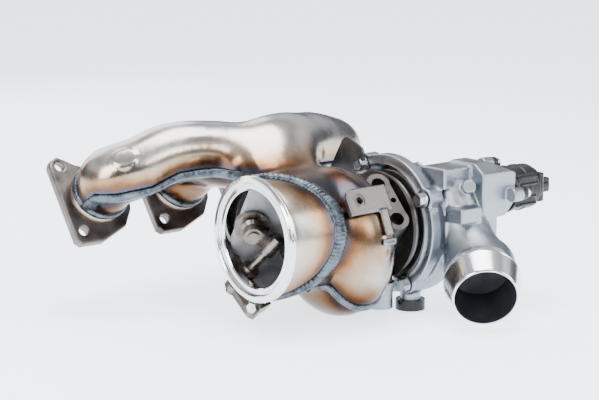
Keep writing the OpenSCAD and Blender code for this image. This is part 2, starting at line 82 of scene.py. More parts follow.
def spline(pts, n):
    """Catmull-Rom through rows of numbers."""
    P = np.array(pts, float)
    P = np.vstack([2 * P[0] - P[1], P, 2 * P[-1] - P[-2]])
    out = []
    for i in range(1, len(P) - 2):
        for t in np.linspace(0, 1, n, endpoint=False):
            a, b, c, d = P[i - 1], P[i], P[i + 1], P[i + 2]
            out.append(0.5 * (2 * b + (c - a) * t + (2 * a - 5 * b + 4 * c - d) * t * t
                              + (3 * b - a - 3 * c + d) * t ** 3))
    out.append(P[-2])
    return np.array(out)

def tube_field(p, route):
    """A bent tube through rows of (x, y, z, radius)."""
    s = spline(route, 4)
    f = None
    for a, b in zip(s[:-1], s[1:]):
        d = seg(p, a[:3], b[:3], a[3], b[3])
        f = d if f is None else smin(f, d, 2.0)
    return f

def cyl_x(p, y, z, r, x0, x1, e=0.0):
    """A cylinder along X with its edges rounded by e."""
    rho = np.hypot(p[:, 1] - y, p[:, 2] - z) - r + e
    ax = np.maximum(x0 + e - p[:, 0], p[:, 0] - x1 + e)
    return np.minimum(np.maximum(rho, ax), 0) + np.hypot(np.maximum(rho, 0), np.maximum(ax, 0)) - e

def cyl_any(p, a, b, r, e=0.0):
    """A cylinder from a to b with its edges rounded by e."""
    a, b = V(*a), V(*b)
    L = np.linalg.norm(b - a)
    u = (b - a) / L
    t = (p - a) @ u
    q = p - a - t[:, None] * u
    rho = np.sqrt((q * q).sum(1)) - r + e
    ax = np.maximum(-t + e, t - L + e)
    return np.minimum(np.maximum(rho, ax), 0) + np.hypot(np.maximum(rho, 0), np.maximum(ax, 0)) - e

def box_f(p, lo, hi, e=0.0):
    """A box with its edges rounded by e."""
    c, h = (V(*lo) + V(*hi)) / 2, (V(*hi) - V(*lo)) / 2 - e
    q = np.abs(p - c) - h
    return np.minimum(q.max(1), 0) + np.sqrt((np.maximum(q, 0) ** 2).sum(1)) - e

def nets(field, lo, hi, h, steps=2):
    """Surface nets of a field over a box, with its points then moved onto the surface."""
    lo, hi = V(*lo), V(*hi)
    n = np.ceil((hi - lo) / h).astype(int) + 1
    ax = [lo[i] + h * np.arange(n[i]) for i in range(3)]
    F = np.empty(n)
    for i in range(n[0]):
        Y, Z = np.meshgrid(ax[1], ax[2], indexing="ij")
        P = np.stack([np.full(Y.size, ax[0][i]), Y.ravel(), Z.ravel()], 1)
        F[i] = field(P).reshape(n[1], n[2])
    S = F < 0
    acc = np.zeros([m - 1 for m in n] + [3])
    cnt = np.zeros([m - 1 for m in n])
    corners = [(i, j, k) for i in (0, 1) for j in (0, 1) for k in (0, 1)]
    def cut(A, c):
        return A[c[0]:n[0] - 1 + c[0], c[1]:n[1] - 1 + c[1], c[2]:n[2] - 1 + c[2]]
    for a in corners:
        for d in range(3):
            if a[d]:
                continue
            b = list(a)
            b[d] = 1
            fa, fb = cut(F, a), cut(F, b)
            m = (fa < 0) != (fb < 0)
            t = np.where(m, fa / np.where(m, fa - fb, 1), 0)
            for e in range(3):
                acc[..., e] += np.where(m, a[e] + (t if e == d else 0), 0)
            cnt += m
    act = cnt > 0
    idx = -np.ones(act.shape, int)
    idx[act] = np.arange(act.sum())
    w = np.argwhere(act)
    verts = lo + h * (w + acc[act] / cnt[act][:, None])
    quads = []
    for d in range(3):
        e, f = [(1, 2), (2, 0), (0, 1)][d]
        sl = [slice(0, n[0]), slice(0, n[1]), slice(0, n[2])]
        A, B = list(sl), list(sl)
        A[d], B[d] = slice(0, n[d] - 1), slice(1, n[d])
        chg = S[tuple(A)] != S[tuple(B)]
        g = np.argwhere(chg)
        g = g[(g[:, e] > 0) & (g[:, f] > 0) & (g[:, e] < n[e] - 1) & (g[:, f] < n[f] - 1)]
        inside = S[tuple(A)][tuple(g.T)]
        def at(de, df):
            q = g.copy()
            q[:, e] -= de
            q[:, f] -= df
            return idx[tuple(q.T)]
        q = np.stack([at(1, 1), at(0, 1), at(0, 0), at(1, 0)], 1)
        q[~inside] = q[~inside][:, ::-1]
        quads.append(q)
    quads = np.vstack(quads)
    for _ in range(steps):
        f0 = field(verts)
        g = grad(field, verts)
        g2 = (g * g).sum(1)
        move = (f0 / np.maximum(g2, 0.25))[:, None] * g
        verts = verts - np.clip(move, -h * 0.5, h * 0.5)
    return verts, quads

def grad(field, v, e=0.15):
    g = np.empty_like(v)
    for i in range(3):
        d = np.zeros(3)
        d[i] = e
        g[:, i] = (field(v + d) - field(v - d)) / (2 * e)
    return g

def to_object(name, verts, faces, attrs=None):
    me = bpy.data.meshes.new(name)
    nv, nf = len(verts), len(faces)
    me.vertices.add(nv)
    me.vertices.foreach_set("co", (verts * MM).astype(np.float32).ravel())
    k = faces.shape[1]
    me.loops.add(nf * k)
    me.loops.foreach_set("vertex_index", faces.astype(np.int32).ravel())
    me.polygons.add(nf)
    me.polygons.foreach_set("loop_start", np.arange(0, nf * k, k, dtype=np.int32))
    me.polygons.foreach_set("loop_total", np.full(nf, k, np.int32))
    me.update(calc_edges=True)
    me.validate()
    me.shade_smooth()
    for key, val in (attrs or {}).items():
        at = me.attributes.new(key, "FLOAT", "POINT")
        at.data.foreach_set("value", val.astype(np.float32))
    ob = bpy.data.objects.new(name, me)
    bpy.context.scene.collection.objects.link(ob)
    return ob

def pick(verts, faces, keep):
    """The faces to keep, with only the points that they use."""
    f = faces[keep]
    used = np.unique(f)
    m = -np.ones(len(verts), int)
    m[used] = np.arange(len(used))
    return verts[used], m[f], used

# ---------------------------------------------------------------- materials
def feed(nt, socket, value):
    """Links an output to a socket, or sets the socket to a plain value."""
    if isinstance(value, bpy.types.NodeSocket):
        nt.links.new(value, socket)
    else:
        socket.default_value = value

def noise(nt, vector, scale, detail):
    n = nt.nodes.new("ShaderNodeTexNoise")
    feed(nt, n.inputs["Scale"], scale)
    feed(nt, n.inputs["Detail"], detail)
    feed(nt, n.inputs["Vector"], vector)
    return n.outputs["Fac"]

def attribute(nt, name):
    n = nt.nodes.new("ShaderNodeAttribute")
    n.attribute_name = name
    return n.outputs["Fac"]

def remap(nt, value, from_min, from_max, to_min, to_max):
    n = nt.nodes.new("ShaderNodeMapRange")
    feed(nt, n.inputs["From Min"], from_min)
    feed(nt, n.inputs["From Max"], from_max)
    feed(nt, n.inputs["To Min"], to_min)
    feed(nt, n.inputs["To Max"], to_max)
    feed(nt, n.inputs["Value"], value)
    return n.outputs["Result"]

def colours(nt, fac, stops):
    """A colour ramp through (position, colour) stops."""
    n = nt.nodes.new("ShaderNodeValToRGB")
    el = n.color_ramp.elements
    for e, (pos, c) in ((el[0], stops[0]), (el[1], stops[-1])):
        e.position, e.color = pos, tuple(c) + (1,)
    for pos, c in stops[1:-1]:
        el.new(pos).color = tuple(c) + (1,)
    feed(nt, n.inputs["Fac"], fac)
    return n.outputs["Color"]

def arith(nt, operation, *values, clamp=False):
    n = nt.nodes.new("ShaderNodeMath")
    n.operation = operation
    n.use_clamp = clamp
    for socket, value in zip(n.inputs, values):
        feed(nt, socket, value)
    return n.outputs[0]

def blend(nt, mode, factor, a, b):
    n = nt.nodes.new("ShaderNodeMix")
    n.data_type = "RGBA"
    n.blend_type = mode
    feed(nt, n.inputs["Factor"], factor)
    feed(nt, n.inputs["A"], a)
    feed(nt, n.inputs["B"], b)
    return n.outputs["Result"]

def bronzed(nt, col, where, tan):
    """Bronze where the sheet ran hot, in patches, and darker on the belly, which is painted shade.
    """
    patches = remap(nt, noise(nt, where, 24, 4), 0.40, 0.60, 1.05, 0.35)
    amount = arith(nt, "MULTIPLY", attribute(nt, "tan"), patches)
    col = blend(nt, "MIX", amount, col, tan + (1,))
    # painted shade: the shade attribute pulls the colour towards dark brown on the belly and the
    # lower shell; near the volute it is the sheet's darker tone
    return blend(nt, "MULTIPLY", attribute(nt, "painted_shade_and_tone"), col, (0.30, 0.22, 0.16, 1))

def heated(nt, col, where, stops, reach):
    """Temper colours beside the welds; the seam attribute is the distance in mm."""
    jitter = arith(nt, "MULTIPLY_ADD", noise(nt, where, 45, 6), 12.0, -6.0)
    far = arith(nt, "ADD", attribute(nt, "seam"), jitter)
    along = arith(nt, "DIVIDE", far, reach, clamp=True)
    return blend(nt, "MULTIPLY", 1, col, colours(nt, along, stops))

def mat(name, base, rough=0.35, metal=1.0, vary=0.06, rvary=0.08, scale=60, bump=0.0,
        bscale=400, coat=0.0, heat=None, reach=30.0, streak=None, spec=0.5, tan=None):
    """A principled material whose colour, roughness and height vary with noise."""
    m = bpy.data.materials.new(name)
    m.use_nodes = True
    nt = m.node_tree
    b = nt.nodes["Principled BSDF"]
    b.inputs["Metallic"].default_value = metal
    b.inputs["Specular IOR Level"].default_value = spec
    if coat:
        b.inputs["Coat Weight"].default_value = coat
        b.inputs["Coat Roughness"].default_value = 0.15
    where = nt.nodes.new("ShaderNodeTexCoord").outputs["Object"]
    mapping = nt.nodes.new("ShaderNodeMapping")
    feed(nt, mapping.inputs["Vector"], where)
    if streak:
        mapping.inputs["Scale"].default_value = streak
    grain = noise(nt, mapping.outputs["Vector"], scale, 5)
    low = [max(0, c * (1 - vary * 2)) for c in base]
    high = [min(1, c * (1 + vary * 2)) for c in base]
    col = colours(nt, grain, [(0.3, low), (0.7, high)])
    if tan:
        col = bronzed(nt, col, where, tan)
    if heat:
        col = heated(nt, col, where, heat, reach)
    feed(nt, b.inputs["Base Color"], col)
    shine = remap(nt, grain, 0.3, 0.7, max(0.03, rough - rvary), rough + rvary)
    feed(nt, b.inputs["Roughness"], shine)
    if bump:
        bp = nt.nodes.new("ShaderNodeBump")
        bp.inputs["Strength"].default_value = bump
        bp.inputs["Distance"].default_value = 0.0006
        feed(nt, bp.inputs["Height"], noise(nt, mapping.outputs["Vector"], bscale, 3))
        feed(nt, b.inputs["Normal"], bp.outputs["Normal"])
    return m

HEAT = [(0.0, (0.15, 0.17, 0.24)), (0.07, (0.20, 0.14, 0.14)), (0.15, (0.36, 0.19, 0.10)),
        (0.27, (0.66, 0.42, 0.24)), (0.48, (0.90, 0.76, 0.61)), (0.80, (1, 1, 1))]
M = dict(
    steel=mat("hot_steel", (0.49, 0.475, 0.455), 0.25, vary=0.05, rvary=0.09, scale=35,
              bump=0.10, bscale=260, heat=HEAT, reach=34, tan=(0.34, 0.255, 0.19)),
    necks=mat("neck_steel", (0.40, 0.30, 0.235), 0.36, vary=0.25, rvary=0.1, scale=30, bump=0.15,
              bscale=300),
    weld=mat("weld_bead", (0.080, 0.096, 0.112), 0.30, metal=0.92, vary=0.35, rvary=0.1, scale=120,
             bump=0.35, bscale=700),
    flange=mat("flange_steel", (0.155, 0.137, 0.127), 0.36, vary=0.25, rvary=0.1, scale=45,
               bump=0.2, bscale=500),
    chrome=mat("turned_steel", (0.70, 0.70, 0.695), 0.09, vary=0.03, rvary=0.04, scale=60,
               streak=(9, 1, 1), bump=0.04, bscale=300),
    inner=mat("sooty_steel", (0.31, 0.31, 0.32), 0.44, metal=0.6, vary=0.12, rvary=0.1, scale=50,
              bump=0.1, bscale=400),
    bronze=mat("hot_bronze", (0.19, 0.165, 0.145), 0.30, vary=0.16, rvary=0.1, scale=90,
               bump=0.15, bscale=600),
    cast=mat("cast_iron", (0.085, 0.080, 0.075), 0.36, vary=0.12, rvary=0.1, scale=90,
             bump=0.5, bscale=1500),
    clip=mat("clip_steel", (0.20, 0.215, 0.235), 0.30, vary=0.2, rvary=0.08, scale=80, bump=0.15,
             bscale=900),
    nickel=mat("nickel", (0.145, 0.136, 0.125), 0.31, vary=0.08, rvary=0.08, scale=80, bump=0.15,
               bscale=900),
    alu=mat("cast_aluminium", (0.28, 0.305, 0.335), 0.31, vary=0.05, rvary=0.07, scale=60,
            bump=0.45, bscale=1300),
    turned=mat("turned_aluminium", (0.70, 0.71, 0.72), 0.16, vary=0.02, rvary=0.04, scale=60,
               bump=0.08, bscale=300),
    # painted shade: near black for the inside of the discharge
    bore=mat("bore_painted_shade", (0.035, 0.038, 0.045), 0.42, metal=0.5, vary=0.15, scale=80, bump=0.1),
    zinc=mat("zinc", (0.58, 0.60, 0.61), 0.27, vary=0.07, scale=150, bump=0.1, bscale=900),
    dark=mat("dark_plate", (0.115, 0.115, 0.12), 0.38, metal=0.85, vary=0.12, scale=70, bump=0.1),
    plastic=mat("black_plastic", (0.006, 0.0065, 0.0075), 0.30, metal=0.0, spec=0.3, vary=0.2,
                scale=200, bump=0.15, bscale=1500),
    rubber=mat("rubber", (0.02, 0.02, 0.02), 0.65, metal=0.0, vary=0.15, scale=200, bump=0.2),
    paint=mat("black_paint", (0.02, 0.02, 0.022), 0.28, metal=0.0, vary=0.1, scale=90, coat=0.4),
    yellow=mat("bearing_bronze", (0.62, 0.44, 0.22), 0.30, vary=0.08, scale=80, bump=0.1),
    copper=mat("copper_wire", (0.60, 0.30, 0.16), 0.35, vary=0.1, scale=200, bump=0.3),
    swivel=mat("swivel_steel", (0.10, 0.115, 0.10), 0.30, vary=0.45, scale=140, bump=0.3,
               bscale=700),
)

def dress(ob, m):
    ob.data.materials.clear()
    ob.data.materials.append(m)

def settle(ob, look, replaced=None):
    """Gives a piece its material and slot, and hides the CAD node it stands in for."""
    dress(ob, M[look])
    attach(ob, "casing")
    if replaced:
        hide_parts(replaced)
    return ob

LOOK = {
    "discharge_stub": "turned", "inlet_sleeve": "turned",
    "outlet_collar": "chrome", "outlet_duct": "necks", "turbine_shroud": "inner",
    "wastegate_seat": "inner", "runner_necks": "necks", "spindle_bush": "bronze",
    "centre_housing": "cast", "turbine_heat_shield": "inner", "journal_bearing": "yellow",
    "thrust_bearing": "yellow", "compressor_backplate": "dark",
    "retaining_ring": "chrome", "compressor_bolts": "zinc",
    "shield_plate": "dark", "support_bracket": "nickel", "bracket_clip": "nickel",
    "oil_drain_stub": "alu", "port_cap": "plastic", "valve_body": "plastic",
    "valve_cap": "plastic", "valve_coil": "copper", "valve_spring": "zinc",
    "valve_screws": "zinc", "valve_seal": "rubber", "actuator_can": "paint",
    "actuator_cover": "paint", "actuator_bracket": "nickel", "actuator_bolts": "zinc",
    "actuator_spring": "zinc", "actuator_nipple": "zinc", "turbine_wheel": "inner",
    "turbine_shaft": "zinc", "turbine_piston_ring": "inner", "thrust_collar": "zinc",
    "oil_slinger": "zinc", "compressor_wheel": "turned", "shaft_nut": "zinc",
    "wastegate_flap": "bronze", "flap_washer": "bronze", "wastegate_arm": "bronze",
    "wastegate_lever": "bronze", "lever_pin": "zinc", "actuator_rod": "bronze",
    "rod_swivel": "swivel", "rod_nuts": "zinc", "diaphragm_plate": "zinc",
    "valve_piston": "turned", "valve_armature": "nickel",
    "port_flange_1": "flange", "port_flange_2": "flange", "port_flange_3": "flange",
    "port_flange_4": "flange",
}
for name, key in LOOK.items():
    dress(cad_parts[name], M[key])

# ---------------------------------------------------------------- ports
TILT = math.radians(36)
NORMAL = V(0, math.cos(TILT), -math.sin(TILT))

def port(n, back=0.0):
    return V(-54 + 84 * (n - 1), 157, 16) - NORMAL * back

# ---------------------------------------------------------------- hot side fields
# each row is a point of the runner's centre line and the radius there
RUNNER_1 = [(*port(1, 10), 22.5), (*port(1, 26), 24), (-53, 127, 41, 25.5),
            (-34, 114, 48.6, 25.5), (-8, 106, 58.6, 26), (20, 97, 60.4, 25.3),
            (50, 87, 55.4, 25.3), (76, 80, 55.6, 27.6)]
RUNNER_2 = [(*port(2, 10), 22.5), (*port(2, 28), 24), (34, 116, 47, 24), (42, 94, 54, 24)]
RUNNER_3 = [(*port(3, 10), 22.5), (*port(3, 28), 24), (109, 114, 50, 25), (98, 84, 56.0, 27.5)]
RUNNER_4 = [(*port(4, 10), 22.5), (*port(4, 28), 24), (188, 119, 43, 25.5), (164, 106, 50, 26.5),
            (136, 93, 56.4, 26.8), (110, 82, 57.2, 27.4), (88, 78, 56.0, 27.6)]

DIMPLE = ((-54.7, 115.4, 50.3), (-55.6, 105.8, 58.4))   # the round pad pressed into runner 1

def manifold_f(p):
    """The four runners, with the pad of runner 1."""
    f = tube_field(p, RUNNER_1)
    f = smin(f, tube_field(p, RUNNER_4), 10)
    f = smin(f, tube_field(p, RUNNER_2), 14)
    f = smin(f, tube_field(p, RUNNER_3), 14)
    q = p - V(*DIMPLE[0])
    u = V(*DIMPLE[1]) - V(*DIMPLE[0])
    u = u / np.linalg.norm(u)
    t = q @ u
    r = np.sqrt(np.maximum((q * q).sum(1) - t * t, 0))
    k = np.clip((11.0 - r) / 3.0, 0, 1) * np.clip((t + 4) / 4, 0, 1)
    return f - 1.1 * k * k * (3 - 2 * k)

def throat_f(p):
    """The passage from the collector down to the volute."""
    a = seg(p, (56, 76, 50), (50, 26, 20), 24, 24)
    b = seg(p, (88, 72, 52), (84, 28, 14), 26, 27)
    c = seg(p, (72, 74, 52), (68, 28, 18), 27, 27)
    return smin(smin(a, b, 12), c, 12)

def volute_f(p):
    rho = np.hypot(p[:, 1] - VOLUTE_Y, p[:, 2] - VOLUTE_Z)
    return np.hypot(np.maximum(rho - 38.3, 0), p[:, 0] - VOLUTE_X) - 26

def weld_g(p):
    """Distance to the slanted plane of the duct's weld, positive on the volute's side."""
    return (p[:, 0] - (15 - 0.775 * p[:, 1] + 0.187 * p[:, 2])) / 1.279

def duct_f(p):
    return np.hypot(p[:, 1], p[:, 2]) - 49.6

def hot_f(p):
    d = np.maximum(np.maximum(duct_f(p), 9.2 - p[:, 0]), p[:, 0] - 82)
    d = np.maximum(d, -weld_g(p) + 0.5)
    f = smin(volute_f(p), d, 9)
    return smin(f, smin(manifold_f(p), throat_f(p), 14), 13)

PART_X = [-90, -60, -35, -12, 18, 54, 94, 140, 170, 200, 230]
PART_Z = [25, 26, 31, 42, 44, 39, 38, 36, 31, 26, 25]

def part_g(p):
    """Distance to the parting surface of the manifold, positive above it."""
    z = np.interp(p[:, 0], PART_X, PART_Z) - 0.6 * np.maximum(p[:, 1] - 118, 0)
    return (p[:, 2] - z) / 1.08

def vol_g(p):
    """Distance to the parting plane of the volute."""
    return -0.78 * (p[:, 1] - VOLUTE_Y) + 0.627 * (p[:, 2] - VOLUTE_Z)

def slab(p):
    """Positive beyond the plane where the necks begin."""
    return (p - port(1, 16.0)) @ NORMAL

def skin_f(p):
    return np.maximum(hot_f(p), slab(p))

def ell(f, g, a, b):
    """A bead with half-axes a and b where the surfaces f = 0 and g = 0 meet."""
    return (np.sqrt((f / a) ** 2 + (g / b) ** 2) - 1) * np.minimum(a, b)

def turbine_side(p):
    """Field of the volute with its duct, also used to part the turbine from the manifold."""
    return smin(volute_f(p), np.maximum(duct_f(p), 9 - p[:, 0]), 9)

def bead_duct(p):
    th = np.arctan2(p[:, 2], p[:, 1])
    w = 0.6 * np.sin(th * 105 + 2 * np.sin(th * 9)) + 0.5 * np.sin(th * 13)
    f = np.minimum(np.hypot(p[:, 1], p[:, 2]) - 50.2, 40)
    e = ell(f, weld_g(p), 3.0 + 0.3 * w, 4.0 + 0.45 * w)
    return np.maximum(e, 9.6 - p[:, 0])

def bead_volute(p):
    th = np.arctan2(p[:, 2] - VOLUTE_Z, p[:, 0] - VOLUTE_X)
    w = np.sin(p[:, 0] * 2.1) * 0.3 + 0.4 * np.sin(th * 7)
    e = ell(turbine_side(p), vol_g(p), 2.7 + 0.3 * w, 3.6 + 0.4 * w)
    return np.maximum(np.maximum(e, -weld_g(p)), p[:, 2] - 6)

def bead_manifold(p):
    w = np.sin((p[:, 0] + 0.8 * p[:, 1]) * 1.9) * 0.3 + 0.5 * np.sin(p[:, 0] * 0.21)
    e = ell(hot_f(p) - 0.3, part_g(p), 2.9 + 0.3 * w, 4.1 + 0.45 * w)
    e = np.maximum(e, -turbine_side(p) + 2.5)
    return np.maximum(e, slab(p) - 0.5)

def bead_necks(p):
    f = None
    for n in range(1, 5):
        c = port(n, 16.5)
        t = (p - c) @ NORMAL
        q = p - c - t[:, None] * NORMAL
        r = np.sqrt((q * q).sum(1))
        th = np.arctan2(q[:, 0], q[:, 2])
        w = 0.3 * np.sin(th * 48) + 0.4 * np.sin(th * 5 + n)
        e = ell(r - 23.6, t, 2.8 + 0.1 * w, 3.6 + 0.3 * w)
        f = e if f is None else np.minimum(f, e)
    return f

def seams_f(p):
    """Distance in mm to the nearest weld."""
    d = np.minimum(np.sqrt(np.minimum(np.abs(duct_f(p)), 60) ** 2 + weld_g(p) ** 2) - 5,
                   np.hypot(turbine_side(p), vol_g(p)) - 4.4 + np.maximum(p[:, 2] - 6, 0))
    m = np.hypot(hot_f(p), part_g(p)) - 5 + np.maximum(-turbine_side(p), 0)
    return np.maximum(np.minimum(np.minimum(d, m), bead_necks(p)), 0)

def crisp(ob, degrees):
    """Splits the shading at edges sharper than an angle."""
    ob.modifiers.new("edges", "EDGE_SPLIT").split_angle = math.radians(degrees)

def thicken(ob, t):
    """Turns a skin into sheet of thickness t, grown inward."""
    m = ob.modifiers.new("thickness", "SOLIDIFY")
    m.thickness = t * MM
    m.offset = -1
    crisp(ob, 58)

def tints(v, upper):
    """Where the sheet has turned bronze, and where painted shade darkens it."""
    ts = turbine_side(v)
    near = np.clip(1 - (ts - 4) / 26, 0, 1)
    tan = np.maximum(near * 0.95, 0.15) if upper else np.full(len(v), 0.95)
    # painted shade towards the bottom, plus a darker tone (0.22 * near) close to the volute
    low = np.clip((-36 - v[:, 2]) / 40, 0, 1) + 0.22 * near
    # painted shade over the whole lower shell, more of it away from the turbine
    if not upper:
        low = low + 0.18 + np.clip(ts / 90, 0, 0.5)
    return tan, np.clip(low, 0, 0.85)

GRID = 1.9
verts, faces = nets(skin_f, (-88, -72, -82), (226, 166, 98), GRID, 3)
seam = seams_f(verts)
cen = verts[faces].mean(1)
turb = turbine_side(cen) < 6
upper = part_g(cen) > 0
front = vol_g(cen) > 0
# the skin has no caps where the necks, the duct and the centre housing join it
opening = slab(cen) > -0.35 * GRID
opening |= (weld_g(cen) < 1.4) & (duct_f(cen) < -0.9) & turb
opening |= (cen[:, 0] < 10.8) & (duct_f(cen) < -0.9) & turb
opening |= (cen[:, 0] > 112) & (np.hypot(cen[:, 1], cen[:, 2] - SHAFT_Z) < 33.5)
for name, node, keep, up in (
        ("hot_manifold_upper", "manifold_upper_shell", ~turb & upper, True),
        ("hot_manifold_lower", "manifold_lower_shell", ~turb & ~upper, False),
        ("hot_turbine_front", "turbine_shell_front", turb & front, True),
        ("hot_turbine_rear", "turbine_shell_rear", turb & ~front, True)):
    v, f, used = pick(verts, faces, keep & ~opening)
    tan, painted_shade_and_tone = tints(v, up)
    ob = to_object(name, v, f, {"seam": seam[used], "tan": tan, "painted_shade_and_tone": painted_shade_and_tone})
    thicken(ob, 1.9)
    settle(ob, "steel", node)

def turned(name, profile, origin, axis, look, n=144, replaced=None):
    """Turns a (radius, distance) outline about an axis; a radius of 0 closes to a point."""
    w = np.array(axis, float)
    w /= np.linalg.norm(w)
    u = np.cross(w, V(0, 0, 1) if abs(w[2]) < 0.9 else V(1, 0, 0))
    u /= np.linalg.norm(u)
    t = np.cross(w, u)
    th = np.linspace(0, 2 * math.pi, n, endpoint=False)
    rows, vs = [], []
    for r, z in profile:
        c = V(*origin) + w * z
        if r < 1e-6:
            rows.append([len(vs)] * n)
            vs.append(c)
        else:
            rows.append(list(range(len(vs), len(vs) + n)))
            vs += list(c + r * (np.cos(th)[:, None] * u + np.sin(th)[:, None] * t))
    fs = []
    for i in range(len(rows)):
        p, q = rows[i], rows[(i + 1) % len(rows)]
        for j in range(n):
            l = (j + 1) % n
            f = [p[j], p[l], q[l], q[j]]
            g = [x for k, x in enumerate(f) if x not in f[:k]]
            if len(g) > 2:
                fs.append(g)
    me = bpy.data.meshes.new(name)
    me.from_pydata([tuple(x * MM) for x in vs], [], fs)
    me.update()
    me.shade_smooth()
    ob = bpy.data.objects.new(name, me)
    bpy.context.scene.collection.objects.link(ob)
    crisp(ob, 26)
    return settle(ob, look, replaced)

def duct_barrel():
    """The outlet duct: outside and inside walls, cut off where the weld goes round it."""
    n, m = 240, 26
    th = np.linspace(0, 2 * math.pi, n, endpoint=False)
    y, z = np.cos(th), np.sin(th)
    edge = np.clip(15 - 0.775 * y * 49.5 + 0.187 * z * 49.5, 10.2, 80)
    vs = []
    for r, bulge in ((49.1, 0.8), (47.5, 0.0)):
        for s in np.linspace(0, 1, m):
            q = r + bulge * math.sin(math.pi * s) ** 0.5
            vs.append(np.stack([9 + (edge - 9) * s, y * q, z * q], 1))
    vs = np.vstack(vs)
    fs = []
    for k in range(2):
        for i in range(m - 1):
            for j in range(n):
                a, b = (k * m + i) * n + j, (k * m + i) * n + (j + 1) % n
                fs.append((a, b, b + n, a + n) if k else (a, a + n, b + n, b))
    for i in (0, m - 1):
        for j in range(n):
            a, b = i * n + j, i * n + (j + 1) % n
            fs.append((a, b, b + m * n, a + m * n) if i == 0 else (b, a, a + m * n, b + m * n))
    fs = np.array(fs)
    seam = np.maximum(np.abs(weld_g(vs)) - 5, 0)
    pale = np.clip(0.72 - 0.5 * np.exp(-((vs[:, 2] + 6) / 22) ** 2), 0, 1)
    ob = to_object("duct_barrel", vs, fs, {"seam": seam, "tan": pale, "painted_shade_and_tone": seam * 0})
    crisp(ob, 40)
    settle(ob, "steel", "outlet_duct")
    ob.data.materials.append(M["inner"])
    inside = np.zeros(len(fs), np.int32)
    inside[(m - 1) * n:2 * (m - 1) * n] = 1
    ob.data.polygons.foreach_set("material_index", inside)

duct_barrel()
COLLAR = [(41, 9), (41, 3.6), (42.1, 2.5), (44.6, 2.5), (45.0, 2.9), (46.2, 2.9), (46.7, 2.5),
          (47.2, 2.3), (47.2, 0.7), (47.9, 0), (50.6, 0), (50.9, 0.35), (51.6, 0.35), (53, 1.6),
          (53, 2.6), (52.3, 3.1), (52.3, 3.7), (53, 4.2), (53, 5.2), (49.6, 8.9), (49.2, 9.0)]
turned("collar_ring", COLLAR, (0, 0, 0), (1, 0, 0), "chrome", n=200,
       replaced="outlet_collar")
turned("duct_floor", [(47.2, 20), (47.2, 60), (31.5, 60), (31.5, 61), (47.9, 61), (47.9, 20)],
       (0, 0, 0), (1, 0, 0), "inner")

for name, fn, lo, hi, h in (
        ("weld_duct", bead_duct, (8, -56, -56), (76, 56, 56), 0.9),
        ("weld_volute", bead_volute, (40, -70, -82), (118, 60, 10), 0.9),
        ("weld_manifold", bead_manifold, (-86, 30, -10), (226, 160, 60), 1.1),
        ("weld_necks", bead_necks, (-84, 125, -6), (228, 170, 54), 1.1)):
    v, f = nets(fn, lo, hi, h * (1), 1)
    settle(to_object(name, v, f), "weld")

# ---------------------------------------------------------------- compressor housing
RIM = V(159, -115, -52)         # centre of the discharge's mouth
INTO = V(0.5628, 0.7441, 0.3600)    # from there into the housing
BOLTS = (72, 150, 240, 330)     # angles of the housing's bolts about the shaft
EARS = (30, 150, 270)           # angles of the valve's ears about its axis

